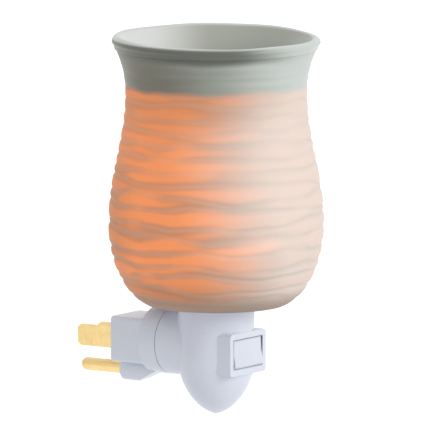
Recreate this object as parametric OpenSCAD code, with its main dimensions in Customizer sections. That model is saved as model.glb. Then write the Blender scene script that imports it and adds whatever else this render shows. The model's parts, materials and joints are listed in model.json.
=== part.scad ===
// Plug-in wax melt warmer: a ceramic shade and dish over a lamp, on a plastic base that hangs from its plug.
// The origin is the middle of the plug's face, on the swivel axis. +Y points into the wall, +Z up.

/* [Base] */
// Distance from the plug's face to the upright axis of the lamp and shade
axis_out = 40.5; // [40.5:0.5:44]
// Radius of the upright neck and of the egg-shaped body below it
neck_r = 14.15; // [14:0.05:15]
// Height of the neck's top edge above the swivel axis
neck_top = 16.2; // [16:0.1:17.2]
// Depth of the egg's lowest point below the swivel axis
egg_depth = 25.7; // [25:0.1:30]
// Height at which the egg starts to close, measured from the swivel axis
egg_start = -4.9; // [-5.5:0.1:-4]
// Radius of the horizontal arm and of the plug's ring
arm_r = 12.4; // [12.3:0.05:13]
// Wall of the moulded plastic base
base_wall = 2; // [1.6:0.1:2.1]

/* [Plug] */
// Width of the plug's block
block_w = 20; // [19.5:0.5:24]
// Height of the plug's block
block_h = 17; // [16.5:0.1:19]
// Depth of the plug's block
block_d = 13.8; // [13.4:0.2:16]
// Depth of the round ring in front of the block
ring_d = 7.4; // [7.2:0.1:8.5]
// Distance between the two flat blades
blade_pitch = 12.7; // [12.5:0.1:12.9]
// Height of the line blade
blade_h = 6.35; // [6:0.05:6.6]
// Height of the wider neutral blade
neutral_h = 7.9; // [7.7:0.1:8.1]
// Thickness of both blades
blade_t = 1.5; // [1.4:0.05:1.6]
// Length of the blades in front of the plug's face
blade_l = 17; // [15.9:0.1:18.2]
// Radius of the round earth pin
earth_r = 2.4; // [2.3:0.05:2.5]
// Distance of the earth pin below the blades
earth_drop = 11.9; // [11.6:0.1:12.2]
// Length of the earth pin in front of the plug's face
earth_l = 19.8; // [18:0.1:21]
// Radius of the round lobe that carries the earth pin
lobe_r = 4.5; // [4.3:0.1:5]

/* [Switch] */
// Width of the box that frames the rocker
boss_w = 23; // [22.8:0.1:24]
// Height of the box that frames the rocker
boss_h = 15.8; // [15:0.1:16]
// Distance of the box's front face from the upright axis
boss_out = 14.3; // [14.1:0.1:15]
// Height of the box's middle above the swivel axis
boss_z = -2; // [-2.8:0.05:-2]
// Width of the rocker
rocker_w = 17.8; // [16.8:0.1:18]
// Tilt of the rocker from its middle to either end
rocker_tilt = 7; // [5:0.5:7.5]

/* [Lamp] */
// Height of the lamp socket's foot above the swivel axis
socket_z = 11.6; // [11.5:0.1:11.9]
// Height of the lamp socket
socket_h = 23; // [21:0.5:25]
// Outside radius of the lamp socket
socket_r = 9; // [8.7:0.1:9.2]
// Radius of the bulb's screw cap
cap_r = 5.8; // [5.6:0.05:5.9]
// Radius of the bulb's glass at its widest
bulb_r = 11; // [9:0.5:14]
// Height of the bulb's glass
bulb_h = 42; // [36:1:46]

/* [Shade] */
// Height of the shade's foot above the swivel axis
shade_z = 15.2; // [15:0.1:15.6]
// Height of the shade from its foot to its top edge
shade_h = 95.2; // [92:0.1:100]
// Radius of the shade at its widest
belly_r = 39.8; // [37:0.1:40]
// Height of the widest place above the foot
belly_z = 30; // [26:1:34]
// Radius of the foot
foot_r = 25.4; // [25.2:0.2:28]
// Radius of the waist under the rim
waist_r = 33.5; // [32:0.5:35]
// Height of the waist above the foot
waist_z = 79; // [76:0.5:82]
// Wall of the shade
shade_wall = 3; // [2.6:0.1:3.4]
// Distance from one ridge of the shade to the next
ridge_pitch = 4.4; // [3.6:0.1:6]
// Height of the ridges above the grooves between them
ridge_high = 0.8; // [0.2:0.1:1]

/* [Dish] */
// Radius of the dish's rolled rim
rim_r = 38.5; // [38.2:0.1:39.5]
// How far the rim stands out over the shade's top edge
rim_over = 1.3; // [0.9:0.1:1.9]
// Radius of the bead along the rim
bead_r = 1.9; // [1.6:0.1:2.1]
// Depth of the bowl below the rim's crest
dish_depth = 17; // [12:0.5:18]
// Wall of the dish
dish_wall = 2.6; // [2.2:0.1:3]

/* [Hidden] */
$fn = 96;
eps = 0.01;

// Clearances
seat_gap = 0.2;      // between a lifted piece and its seat
turn_gap = 0.3;      // between the ring and the arm
run_gap = 0.08;      // round the swivel's journal
pin_gap = 0.05;      // round the rocker's pins
slip_gap = 0.1;      // round pieces that the shells clamp
touch_gap = 0.2;     // at contacts that rub
face_gap = 0.25;     // round the rocker in its window

// Swivel and contacts, along the arm
ring_front = -(block_d + ring_d);
arm_end = ring_front - turn_gap;
journal_r = 7;
flange_r = 9;
flange_t = 2;
hub_bore = 4.6;
hub_plate_r = 10;
hub_plate_t = 2.3;
collar_web = 5;
web_t = 1.7;
web_bore = 7.5;
web_r = arm_r - base_wall + 0.4;
flange_front = arm_end - collar_web - slip_gap;
flange_back = flange_front - flange_t;
stop_front = flange_back - turn_gap;
plate_front = stop_front - web_t - slip_gap;
plate_t = 1.7;
plate_back = plate_front - plate_t;
plate_web = plate_back - slip_gap;
contact_t = 0.6;
contact_face = plate_front + contact_t;
stud_r = 0.95;
stud_head = 1.8;
stud_tail = 2.3;
contact_ring_in = 3.1;
contact_ring_out = 4.4;
ring_tab_r = 0.6;
ring_tab_x = (contact_ring_in + contact_ring_out) / 2;
wiper_t = 0.5;
wiper_w = 2.4;
wiper_x = 3.6;
line_wiper_x = 0.7;

// Plug
block_round = 1.6;
cavity_front = 5.4;
cavity_w = blade_pitch + 3.2;
cavity_h = neutral_h + 1.4;
ring_bore = 5.6;
head_t = 1.6;
head_over = 0.8;
tail_l = 2.4;
blade_tail_h = 3;
blade_tip_l = 1.5;
blade_tip_cut = 1;
earth_root = 10.6;
earth_shank = 1.9;
earth_shoulder = 0.3;
earth_recess = 0.8;
hub_screw_r = 7.7;
hub_screw_l = 6.5;
lobe_flat = 6.5;
lobe_slope = 26;

// Screws
screw_r = 1;
screw_hole = 1.1;
screw_head = 1.8;
screw_head_h = 1.4;
screw_l = 8.4;
pilot_over = 0.8;
post_r = 3.1;
post_reach = 8.8;
post_high = 9.3;
egg_screw = [-axis_out, -egg_depth + post_high];
arm_screw_y = arm_end - collar_web / 2;
arm_screw_z = 9.2;
SCREWS = [egg_screw, [arm_screw_y, arm_screw_z], [arm_screw_y, -arm_screw_z]];
SEATS = [4.4, 3.4, 3.4];

// Neck, socket and collar
egg_point = 1.28;
neck_in = neck_r - base_wall;
flange_high = 2;
shelf_bore = socket_r - 0.4;
shelf_t = 2;
socket_flange_r = neck_in - 0.6;
skirt_bottom = socket_z + flange_high + slip_gap;
bead_w = 0.8;
bead_h = 1.4;
bead_rise = 0.3;
foot_recess = 3.2;
floor_t = 3.2;
foot_w = 4;
collar_top = shade_z + foot_recess - seat_gap;
collar_edge = 1.2;
collar_r = foot_r - foot_w - collar_edge;
spigot_r = 14.6;
spigot_h = 6.4;
hole_gap = 0.5;
shade_hole = spigot_r + hole_gap;
bore_r = cap_r + 0.95;
bore_floor = socket_z + 3.4;
shell_t = 0.4;
shell_out = bore_r - slip_gap;
shell_in = shell_out - shell_t;
tail_w = 2.4;
tail_t = 0.6;
tail_drop = 2.4;
tail_slot_h = 10;
side_tail_x = -4.6;
shell_hole = 3.2;
contact_foot = bore_floor + 0.6;
contact_r = 2.4;

// Bulb
cap_bottom = bore_floor + 4.4;
cap_h = 12;
cap_top = cap_bottom + cap_h;
tip_r = 2.2;
tip_h = 0.9;
insulator_h = 1.5;
thread_rings = 5;
thread_deep = 0.35;
thread_pitch = 2.2;
thread_start = 1.4;
cap_wall = 0.4;
glass_t = 0.7;
glass_neck = cap_r - thread_deep - cap_wall - 0.3;
glass_sunk = 3;
stem_sunk = 2.4;
stem_h = 17;
stem_r = 2.6;
stem_tip = 1;
stem_foot_h = 1.2;
wire_r = 0.25;
support_h = 11;
support_bend = 8;

// Switch, measured from the rocker's axis
pivot_in = 4.8;
pivot_y = -(axis_out + boss_out) + pivot_in;
cap_arc = 7;
cap_back = 3;
end_out = 4.97;
end_high = 4.93;
valley_out = 4.5;
body_high = 4.4;
body_back = -0.8;
pin_r = 1;
pin_reach = 0.9;
case_w = boss_w - 3.2;
case_in_w = rocker_w - 1.6;
case_high = 6.4;
case_wall = 1;
case_front = 1.9;
case_back = -8.2;
cavity_high = 6.75;
front_wall = 1;
room_end = -axis_out - 6;
rail_in = 6;
rail_out = neck_in + base_wall / 2;
rail_t = 1.2;
rail_h = 2;
rail_z = 5;
rail_y = pivot_y - case_back + slip_gap + rail_t / 2;
rocker_well = 1.2;
well_web = 4.4;
bore_plunger = 1.5;
plunger_r = bore_plunger - pin_gap;
plunger_top = 0.2;
plunger_foot = -2;
tip_ball = 0.8;
tip_centre = -3.4;
spring_top = 3.35;
spring_end = 0.05;
spring_wire = 0.17;
spring_turns = 3;
spring_steps = 10;
lever_tilt = rocker_tilt * 5 / 7;
lever_valley = -4.6;
lever_end = 5.1;
lever_rise = 0.3;
lever_t = 0.6;
lever_w = 4;
knuckle_r = 0.5;
terminal_t = 0.8;
terminal_tail = -9.8;
terminal_at = -4.7;

// Leads
lead_r = 0.9;
lead_sides = 8;

// Shade
shoulder_r = rim_r - rim_over;
belly_drop = belly_z + 1;
ridge_low = 4;
ridge_top = shade_h - 5;
bowl_gap = 0.8;
bowl_corner = 7;

// Helpers: about_y() turns a profile drawn round Z so that it runs along the arm, into the wall
module about_y() rotate([-90, 0, 0]) children();

module at_axis() translate([0, -axis_out, 0]) children();

module disc_y(r, from, to) translate([0, from, 0]) about_y() cylinder(r = r, h = to - from);

module ring_y(r, bore, from, to) difference() {
  disc_y(r, from, to);
  disc_y(bore, from - 1, to + 1);
}

module rounded(w, h, r) {
  square([w - 2 * r, h], center = true);
  square([w, h - 2 * r], center = true);
  for (x = [-1, 1], y = [-1, 1]) translate([x * (w / 2 - r), y * (h / 2 - r)]) circle(r = r);
}

// A bent metal strip: corner points in the plane z = 0, its thickness, and its width along Z
module strip(points, t, w) translate([0, 0, -w / 2]) linear_extrude(height = w) {
  for (i = [0:len(points) - 2]) let (d = points[i + 1] - points[i])
    translate(points[i]) rotate(atan2(d[1], d[0])) translate([0, -t / 2]) square([norm(d), t]);
  for (i = [1:len(points) - 2]) translate(points[i]) circle(d = t, $fn = 24);
}

// Places a profile drawn as [outwards from the rocker's axis, upwards] and gives it a width along X
module switch_slab(w, turn = 0) translate([0, pivot_y, boss_z]) mirror([0, 1, 0]) rotate([90, 0, 90])
  linear_extrude(height = w, center = true) rotate(turn) children();

// Round tube along a list of points
function unit(v) = v / norm(v);
function tangent(p, i) = unit(p[min(i + 1, len(p) - 1)] - p[max(i - 1, 0)]);
function curve(a, b, c, d, t) = 0.5 * (2 * b + (c - a) * t + (2 * a - 5 * b + 4 * c - d) * t * t
  + (3 * b - a - 3 * c + d) * t * t * t);
function smooth(p, n) = let (m = len(p) - 1) concat(
  [for (i = [0:m - 1], k = [0:n - 1])
    curve(p[max(i - 1, 0)], p[i], p[i + 1], p[min(i + 2, m)], k / n)], [p[m]]);
function carry(u, t) = unit(u - (u * t) * t);
function frames(p, i, u) = i == len(p) ? []
  : let (v = carry(u, tangent(p, i))) concat([v], frames(p, i + 1, v));

module tube(p, r, sides, side_way) {
  u = frames(p, 0, side_way);
  n = len(p);
  rings = [for (i = [0:n - 1], k = [0:sides - 1]) let (a = 360 * k / sides)
    p[i] + r * (cos(a) * u[i] + sin(a) * cross(tangent(p, i), u[i]))];
  sheet = [for (i = [0:n - 2], k = [0:sides - 1]) let (a = i * sides + k, b = i * sides + (k + 1) % sides)
    each [[a, a + sides, b], [b, a + sides, b + sides]]];
  last = (n - 1) * sides;
  ends = [for (k = [1:sides - 2]) each [[0, k, k + 1], [last, last + k + 1, last + k]]];
  polyhedron(points = rings, faces = concat(sheet, ends));
}

// Base: the outside of the egg, neck and arm, and the hollow in them
function egg(r, drop) = [for (a = [0:6:90]) [r * pow(sin(a), egg_point), egg_start - drop * cos(a)]];

module egg_solid(r, drop, top) at_axis() rotate_extrude()
  polygon(concat(egg(r, drop), [[r, top], [0, top]]));

module boss_block(w, h, from, to) translate([0, from, boss_z]) about_y()
  linear_extrude(height = to - from) rounded(w, h, 1.5);

module base_outside() {
  egg_solid(neck_r, egg_depth + egg_start, neck_top);
  disc_y(arm_r, -axis_out, arm_end);
  boss_block(boss_w, boss_h, -axis_out - boss_out, -axis_out - 4);
}

module base_hollow() {
  egg_solid(neck_in, egg_depth + egg_start - base_wall, neck_top + 1);
  disc_y(arm_r - base_wall, -axis_out, arm_end + 1);
  switch_room();
}

// Room for the rocker's cap, then the wider room for the switch case behind it
module room(w, from) translate([-w / 2, from, boss_z - cavity_high])
  cube([w, room_end - from, 2 * cavity_high]);

module switch_room() {
  room(rocker_w + 2 * face_gap, -axis_out - boss_out + front_wall);
  room(case_w + 2 * slip_gap, pivot_y - case_front - slip_gap);
  switch_slab(rocker_w + 2 * face_gap) polygon([
    [pivot_in - front_wall - eps, -window_high(pivot_in - front_wall)],
    [pivot_in, -window_high(pivot_in)], [pivot_in + 1, -window_high(pivot_in)],
    [pivot_in + 1, window_high(pivot_in)], [pivot_in, window_high(pivot_in)],
    [pivot_in - front_wall - eps, window_high(pivot_in - front_wall)]]);
}

function window_high(out) = sqrt(cap_arc * cap_arc - out * out) + face_gap;

// Webs in the arm, the shelf under the lamp socket, the bead groove's band and the screw posts
module base_inside() {
  ring_y(web_r, journal_r + run_gap, arm_end - collar_web, arm_end);
  ring_y(web_r, web_bore, stop_front - web_t, stop_front);
  ring_y(web_r, web_bore, plate_web - web_t, plate_web);
  at_axis() translate([0, 0, socket_z - shelf_t]) difference() {
    cylinder(r = neck_r - base_wall / 2, h = shelf_t);
    translate([0, 0, -1]) cylinder(r = shelf_bore, h = shelf_t + 2);
  }
  translate([-post_reach, egg_screw[0], egg_screw[1]]) rotate([0, 90, 0])
    cylinder(r = post_r, h = 2 * post_reach);
  for (x = [-1, 1], z = [-1, 1]) translate([x * (rail_out + rail_in) / 2, rail_y, boss_z + z * rail_z])
    cube([rail_out - rail_in, rail_t, rail_h], center = true);
}

module screw_places(seat = true) for (i = [0:len(SCREWS) - 1])
  translate([seat ? SEATS[i] : 0, SCREWS[i][0], SCREWS[i][1]]) rotate([0, 90, 0]) children();

module base_cuts() {
  at_axis() translate([0, 0, skirt_bottom + bead_rise])
    cylinder(r = neck_in + bead_w + slip_gap, h = bead_h + 2 * slip_gap);
  screw_places() {
    translate([0, 0, -screw_l - pilot_over])
      cylinder(r = screw_hole, h = screw_l + pilot_over + 1, $fn = 32);
    cylinder(r = screw_head + slip_gap, h = 20, $fn = 48);
  }
}

module base_shell(side) difference() {
  union() {
    difference() {
      base_outside();
      base_hollow();
    }
    base_inside();
  }
  base_cuts();
  translate([side > 0 ? -60 : 0, -100, -60]) cube([60, 110, 120]);
}

module housing_left() color("white") base_shell(-1);

module housing_right() color("white") base_shell(1);

module housing_screws() color("silver") screw_places() {
  cylinder(r = screw_head, h = screw_head_h, $fn = 48);
  translate([0, 0, -screw_l]) cylinder(r = screw_r, h = screw_l + eps, $fn = 32);
}

// Collar: a skirt clamped in the neck, the flange that carries the shade, and the spigot that centres it
module shade_collar() color("white") at_axis() rotate_extrude() difference() {
  union() {
    translate([0, skirt_bottom]) square([neck_in - slip_gap, collar_top - skirt_bottom]);
    translate([0, skirt_bottom + bead_rise + slip_gap]) square([neck_in + bead_w, bead_h]);
    translate([0, neck_top]) square([collar_r, collar_top - neck_top]);
    translate([0, collar_top - eps]) square([spigot_r, spigot_h + eps]);
  }
  translate([-1, 0]) square([socket_r + slip_gap + 1, 80]);
}

// Plug head: block, ring and lobe in one moulding, with a cavity for the blades' tails
module plug_lobe() {
  difference() {
    disc_y_at(lobe_r, -block_d - 2, 0, -earth_drop);
    translate([-20, -lobe_flat, -earth_drop - lobe_r]) rotate([-lobe_slope, 0, 0])
      translate([0, -30, -20]) cube([40, 30, 20]);
  }
}

module plug_body() color("white") difference() {
  union() {
    translate([0, -block_d - 1, 0]) about_y() linear_extrude(height = block_d + 1)
      rounded(block_w, block_h, block_round);
    disc_y(arm_r, ring_front, -block_d);
    plug_lobe();
  }
  disc_y(hub_plate_r + slip_gap, ring_front - 1, ring_front + hub_plate_t);
  disc_y(ring_bore, ring_front - 1, -cavity_front);
  translate([-cavity_w / 2, -block_d, -cavity_h / 2]) cube([cavity_w, block_d - cavity_front, cavity_h]);
  for (side = [-1, 1]) let (h = side > 0 ? blade_h : neutral_h)
    translate([side * blade_pitch / 2, 0, 0]) cube([blade_t + slip_gap, 40, h + slip_gap], center = true);
  disc_y_at(earth_shank + slip_gap / 2, -earth_root, 1, -earth_drop);
  disc_y_at(earth_r + slip_gap, -earth_recess, 1, -earth_drop);
  hub_screw_places() cylinder(r = screw_hole, h = hub_screw_l + pilot_over / 2, $fn = 32);
}

module disc_y_at(r, from, to, z) translate([0, 0, z]) disc_y(r, from, to);

module hub_screw_places() for (z = [-hub_screw_r, hub_screw_r])
  translate([0, ring_front, z]) about_y() children();

// Hub: the plate that closes the ring, the journal that turns in the arm, and the flange that keeps it there
module swivel_hub() color("gainsboro") difference() {
  union() {
    disc_y(hub_plate_r, ring_front, ring_front + hub_plate_t);
    disc_y(journal_r, flange_front - eps, ring_front + eps);
    disc_y(flange_r, flange_back, flange_front);
  }
  disc_y(hub_bore, flange_back - 1, ring_front + 10);
  hub_screw_places() {
    translate([0, 0, -20]) cylinder(r = screw_hole, h = 40, $fn = 32);
    translate([0, 0, -20]) cylinder(r = screw_head + slip_gap, h = 20 + screw_head_h, $fn = 48);
  }
}

module hub_screws() color("silver") hub_screw_places() {
  cylinder(r = screw_head, h = screw_head_h, $fn = 48);
  translate([0, 0, screw_head_h - eps]) cylinder(r = screw_r, h = hub_screw_l - screw_head_h, $fn = 32);
}

// Blades: a chamfered tip outside, a wider head that stops against the cavity's wall
module blade(side, h) color("gold") translate([side * blade_pitch / 2, 0, 0]) {
  rotate([90, 0, 90]) linear_extrude(height = blade_t, center = true) polygon([
    [-cavity_front, -h / 2], [blade_l - blade_tip_l, -h / 2], [blade_l, -h / 2 + blade_tip_cut],
    [blade_l, h / 2 - blade_tip_cut], [blade_l - blade_tip_l, h / 2], [-cavity_front, h / 2]]);
  translate([-blade_t / 2, -cavity_front - head_t, -(h + head_over) / 2])
    cube([blade_t, head_t, h + head_over]);
  translate([-blade_t / 2, -cavity_front - head_t - tail_l, -blade_tail_h / 2])
    cube([blade_t, tail_l + eps, blade_tail_h]);
}

module line_blade() blade(1, blade_h);

module neutral_blade() blade(-1, neutral_h);

// The pin's shank sits in the lobe, and its shoulder stands clear of a shallow recess in the plug's face
module earth_pin() color("gold") translate([0, 0, -earth_drop]) {
  disc_y(earth_shank, -earth_root, earth_shoulder + eps);
  disc_y(earth_r, earth_shoulder, earth_l - earth_r);
  translate([0, earth_l - earth_r, 0]) sphere(r = earth_r);
}

// Wipers: sprung strips from the blades' tails through the hub to the contacts in the arm
module wiper(side, at) color("goldenrod") {
  inner = (blade_pitch - blade_t - wiper_t) / 2 - slip_gap;
  first = -cavity_front - head_t;
  strip([[side * inner, first - slip_gap], [side * inner, first - tail_l],
    [side * wiper_x, ring_front + hub_plate_t], [side * wiper_x, flange_back],
    [side * at, contact_face + 2 * wiper_t], [side * at, contact_face + touch_gap]], wiper_t, wiper_w);
}

module line_wiper() wiper(1, line_wiper_x);

module neutral_wiper() wiper(-1, ring_tab_x);

// A flat along the plate's top, under the shelf, keeps it from turning
module contact_plate() color("saddlebrown") difference() {
  disc_y(arm_r - base_wall - slip_gap, plate_back, plate_front);
  disc_y(stud_r + slip_gap, plate_back - 1, plate_front + 1);
  translate([-ring_tab_x, 0, 0]) disc_y(ring_tab_r + slip_gap, plate_back - 1, plate_front + 1);
  translate([-arm_r, plate_back - 1, socket_z - shelf_t - slip_gap]) cube([2 * arm_r, plate_t + 2, arm_r]);
}

module line_stud() color("gold") {
  disc_y(stud_head, plate_front, contact_face);
  disc_y(stud_r, plate_back - stud_tail, plate_front + eps);
}

module neutral_ring() color("gold") {
  ring_y(contact_ring_out, contact_ring_in, plate_front, contact_face);
  translate([-ring_tab_x, 0, 0]) disc_y(ring_tab_r, plate_back - stud_tail, plate_front + eps);
}

// Switch: an open case, the rocker on its pins, a sprung plunger and the lever that it tips
module switch_case() color("dimgray") difference() {
  switch_slab(case_w) translate([case_back, -case_high]) square([case_front - case_back, 2 * case_high]);
  switch_slab(case_in_w) translate([case_back + case_wall, -case_high + case_wall])
    square([case_front - case_back, 2 * (case_high - case_wall)]);
  switch_slab(rocker_w + 1) circle(r = pin_r + pin_gap, $fn = 48);
  for (w = [0, terminal_at]) switch_slab(lever_w + 2 * slip_gap)
    translate([case_back - 1, w - terminal_t / 2 - slip_gap]) square([3, terminal_t + 2 * slip_gap]);
}

module rocker_cap_outline() intersection() {
  circle(r = cap_arc);
  polygon([[cap_back, -cap_arc], [end_out, -cap_arc], [end_out, -end_high], [valley_out, 0],
    [end_out, end_high], [end_out, cap_arc], [cap_back, cap_arc]]);
}

module rocker() color("white") difference() {
  union() {
    switch_slab(rocker_w, rocker_tilt) rocker_cap_outline();
    switch_slab(case_in_w - 0.6, rocker_tilt) translate([body_back, -body_high])
      square([cap_back - body_back + eps, 2 * body_high]);
    switch_slab(case_in_w + 2 * pin_reach) circle(r = pin_r, $fn = 48);
  }
  for (side = [-1, 1]) translate([side * case_in_w / 4, 0, 0])
    switch_slab(case_in_w / 2 - well_web, rocker_tilt) translate([body_back - 1, rocker_well - body_high])
      square([cap_back - body_back, 2 * (body_high - rocker_well)]);
  rocker_turned() translate([0, 0, body_back - 1])
    cylinder(r = bore_plunger, h = spring_top + 2 * spring_end - body_back + 1, $fn = 48);
}

// Turns with the rocker: Z runs outwards from the rocker's axis, in the rocker's own middle
module rocker_turned() translate([0, pivot_y, boss_z]) rotate([90 - rocker_tilt, 0, 0]) children();

module rocker_plunger() color("ivory") rocker_turned() {
  translate([0, 0, plunger_foot]) cylinder(r = plunger_r, h = plunger_top - plunger_foot, $fn = 48);
  translate([0, 0, tip_centre]) cylinder(r = tip_ball, h = plunger_foot - tip_centre + eps, $fn = 32);
  translate([0, 0, tip_centre]) sphere(r = tip_ball, $fn = 32);
}

// Spring: a coil between the plunger and the bottom of its bore
spring_room = spring_top - plunger_top - 2 * (spring_wire + spring_end);
spring_coil_r = bore_plunger - spring_wire - slip_gap;
spring_last = spring_turns * spring_steps;
SPRING = [for (k = [0:spring_last]) let (a = 360 * k / spring_steps)
  [spring_coil_r * cos(a), spring_coil_r * sin(a),
    plunger_top + spring_end + spring_wire + spring_room * k / spring_last]];
spring_gap = min([for (i = [0:spring_last - spring_steps], j = [i + spring_steps - 2:spring_last])
  norm(SPRING[i] - SPRING[j])]) - 2 * spring_wire;
echo("least gap between the plunger spring's curls, mm", spring_gap);

module plunger_spring() color("silver") rocker_turned() tube(SPRING, spring_wire, 6, [1, 0, 0]);

// The lever rocks on a round knuckle under its valley
module contact_lever() color("gold") translate([0, pivot_y, boss_z]) mirror([0, 1, 0]) rotate([90, 0, 90])
  translate([lever_valley - lever_t, 0, 0]) {
    linear_extrude(height = lever_w, center = true) rotate(-lever_tilt)
      polygon([[lever_t, 0], [lever_t + lever_rise, lever_end], [lever_rise, lever_end], [0, 0],
        [lever_rise, -lever_end], [lever_t + lever_rise, -lever_end]]);
    cylinder(r = knuckle_r, h = lever_w, center = true, $fn = 48);
  }

module terminal(at, top) color("gold") switch_slab(lever_w)
  translate([terminal_tail, at - terminal_t / 2]) square([top - terminal_tail, terminal_t]);

module lever_saddle() terminal(0, lever_valley - lever_t - knuckle_r - touch_gap);

function lever_under(at) = lever_valley - lever_t + lever_rise * abs(at) / lever_end
  - sin(lever_tilt) * abs(at);

module switched_terminal() terminal(terminal_at, lever_under(terminal_at - terminal_t / 2) - touch_gap);

// Lamp socket: insulating body, threaded shell and the sprung contact under the bulb
module socket_body() color("ivory") at_axis() difference() {
  union() {
    translate([0, 0, socket_z]) cylinder(r = socket_r, h = socket_h);
    translate([0, 0, socket_z]) cylinder(r = socket_flange_r, h = flange_high);
  }
  translate([0, 0, bore_floor]) cylinder(r = bore_r, h = socket_h);
  for (x = [0, side_tail_x]) translate([x - tail_w / 2 - slip_gap, -tail_t / 2 - slip_gap, socket_z - 1])
    cube([tail_w + 2 * slip_gap, tail_t + 2 * slip_gap, tail_slot_h]);
}

module tail(x, top) translate([x - tail_w / 2, -tail_t / 2, socket_z - tail_drop])
  cube([tail_w, tail_t, top - socket_z + tail_drop]);

module socket_shell() color("gold") at_axis() {
  difference() {
    translate([0, 0, bore_floor + slip_gap]) cylinder(r = shell_out, h = cap_h + 2);
    translate([0, 0, bore_floor + slip_gap + shell_t]) cylinder(r = shell_in, h = socket_h);
    translate([0, 0, bore_floor - 1]) cylinder(r = shell_hole, h = 3);
  }
  tail(side_tail_x, bore_floor + slip_gap + shell_t);
}

module socket_contact() color("goldenrod") at_axis() {
  tail(0, contact_foot + eps);
  translate([0, 0, contact_foot])
    cylinder(r = contact_r, h = cap_bottom - insulator_h - tip_h - touch_gap - contact_foot);
}

// Bulb: screw cap, glass insulator and solder tip, envelope, stem and filament
module bulb_cap() color("silver") at_axis() difference() {
  rotate_extrude() {
    translate([0, cap_bottom]) square([cap_r - thread_deep, cap_h]);
    for (k = [0:thread_rings - 1])
      translate([cap_r - thread_deep, cap_bottom + thread_start + k * thread_pitch])
        scale([thread_deep, thread_deep * 2]) circle(r = 1, $fn = 24);
  }
  translate([0, 0, cap_bottom + cap_wall]) cylinder(r = cap_r - thread_deep - cap_wall, h = cap_h);
}

module cap_insulator() color("black") at_axis() translate([0, 0, cap_bottom - insulator_h])
  cylinder(r1 = tip_r + 0.6, r2 = cap_r - thread_deep - 0.6, h = insulator_h);

module cap_tip() color("silver") at_axis() translate([0, 0, cap_bottom - insulator_h - tip_h])
  cylinder(r1 = tip_r - 0.6, r2 = tip_r, h = tip_h);

// Glass outline from its neck in the cap to its tip: a flare, the widest ring, and a tapering dome
function glass_line(in) = let (n = glass_neck - in, w = bulb_r - in, wide = bulb_h * 0.42, h = bulb_h - in)
  concat([[n, 0], [n, 4]],
    [for (k = [1:6]) let (t = k / 6) [n + (w - n) * (1 - cos(180 * t)) / 2, 4 + (wide - 4) * t]],
    [for (a = [10:10:90]) [w * pow(cos(a), 0.9), wide + (h - wide) * sin(a)]]);

module bulb_glass() color("lightyellow", 0.4) at_axis() translate([0, 0, cap_top - glass_sunk])
  rotate_extrude() difference() {
  polygon(concat(glass_line(0), [[0, 0]]));
  translate([0, -1]) polygon(concat(glass_line(glass_t), [[0, 0]]));
  translate([-1, -2]) square([glass_neck - glass_t + 1, 3]);
}

module lamp_stem() color("lightyellow", 0.6) at_axis() translate([0, 0, cap_top - stem_sunk]) {
  cylinder(r = glass_neck - glass_t - slip_gap, h = stem_foot_h);
  cylinder(r = stem_r, h = stem_h / 2);
  translate([0, 0, stem_h / 2 - eps]) cylinder(r1 = stem_r, r2 = stem_tip, h = stem_h / 2);
}

// Supports rise from the stem and carry the wire between them
module filament() color("orange") at_axis() translate([0, 0, cap_top - stem_sunk + stem_h + touch_gap / 2]) {
  span = bulb_r / 2;
  rotate([90, 0, 0]) {
    for (side = [-span, span])
      strip([[0, 0], [0, 1], [side, support_bend], [side, support_h]], 2 * wire_r, 2 * wire_r);
    strip([[-span, support_h], [-span / 3, support_h - 1.5], [span / 3, support_h + 0.6],
      [span, support_h]], 2 * wire_r, 2 * wire_r);
  }
}

// Leads: round-number routes, each from one terminal to the next
stud_end = plate_back - stud_tail;
saddle_end = pivot_y - terminal_tail;
lead_gap = 0.1;
line_route = [[0, stud_end - lead_gap, 0], [0, stud_end - 1.4, 0], [1, stud_end - 2.8, -0.6],
  [1, saddle_end + 2.6, boss_z + 0.5], [0, saddle_end + 1.3, boss_z], [0, saddle_end + lead_gap, boss_z]];
switched_route = [[0, saddle_end + lead_gap, boss_z + terminal_at],
  [0, saddle_end + 0.5, boss_z + terminal_at], [0, saddle_end + 1.1, boss_z + terminal_at],
  [3.4, saddle_end + 2.2, boss_z + terminal_at - 1],
  [6.4, saddle_end + 2.4, boss_z - 2.5], [6.4, saddle_end + 2.6, boss_z + 2.5],
  [3.6, saddle_end + 2.4, boss_z + 7], [0.9, saddle_end + 1, boss_z + 9],
  [0, -axis_out, socket_z - tail_drop - 1.1], [0, -axis_out, socket_z - tail_drop - lead_gap]];
neutral_route = [[-ring_tab_x, stud_end - lead_gap, 0], [-ring_tab_x, stud_end - 1.1, 0.2],
  [-5.6, -axis_out + 3.4, 2.6], [side_tail_x - 0.6, -axis_out + 1, socket_z - tail_drop - 3],
  [side_tail_x, -axis_out, socket_z - tail_drop - 1.1],
  [side_tail_x, -axis_out, socket_z - tail_drop - lead_gap]];

module lead(route) tube(smooth(route, 4), lead_r, lead_sides, [1, 0.01, 0.02]);

module line_lead() color("black") lead(line_route);

module switched_lead() color("red") lead(switched_route);

module neutral_lead() color("white") lead(neutral_route);

// Shade: foot, belly, waist and flare in one outline, with ridges on the outside
function belly_curve(t) = 1 - sqrt(1 - t * t);

function shade_line(z) = z <= belly_z
  ? belly_r - (belly_r - foot_r) * belly_curve((belly_z - z) / belly_drop)
    / belly_curve(belly_z / belly_drop)
  : z <= waist_z
    ? belly_r + (waist_r - belly_r) * (1 - cos(180 * (z - belly_z) / (waist_z - belly_z))) / 2
    : waist_r + (shoulder_r - waist_r) * pow((z - waist_z) / (shade_h - waist_z), 2);

function ridge(z) = let (fade = min(1, (z - ridge_low) / 4, (ridge_top - z) / 8))
  fade <= 0 ? 0 : fade * ridge_high * (cos(360 * z / ridge_pitch) - 1) / 2;

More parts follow.
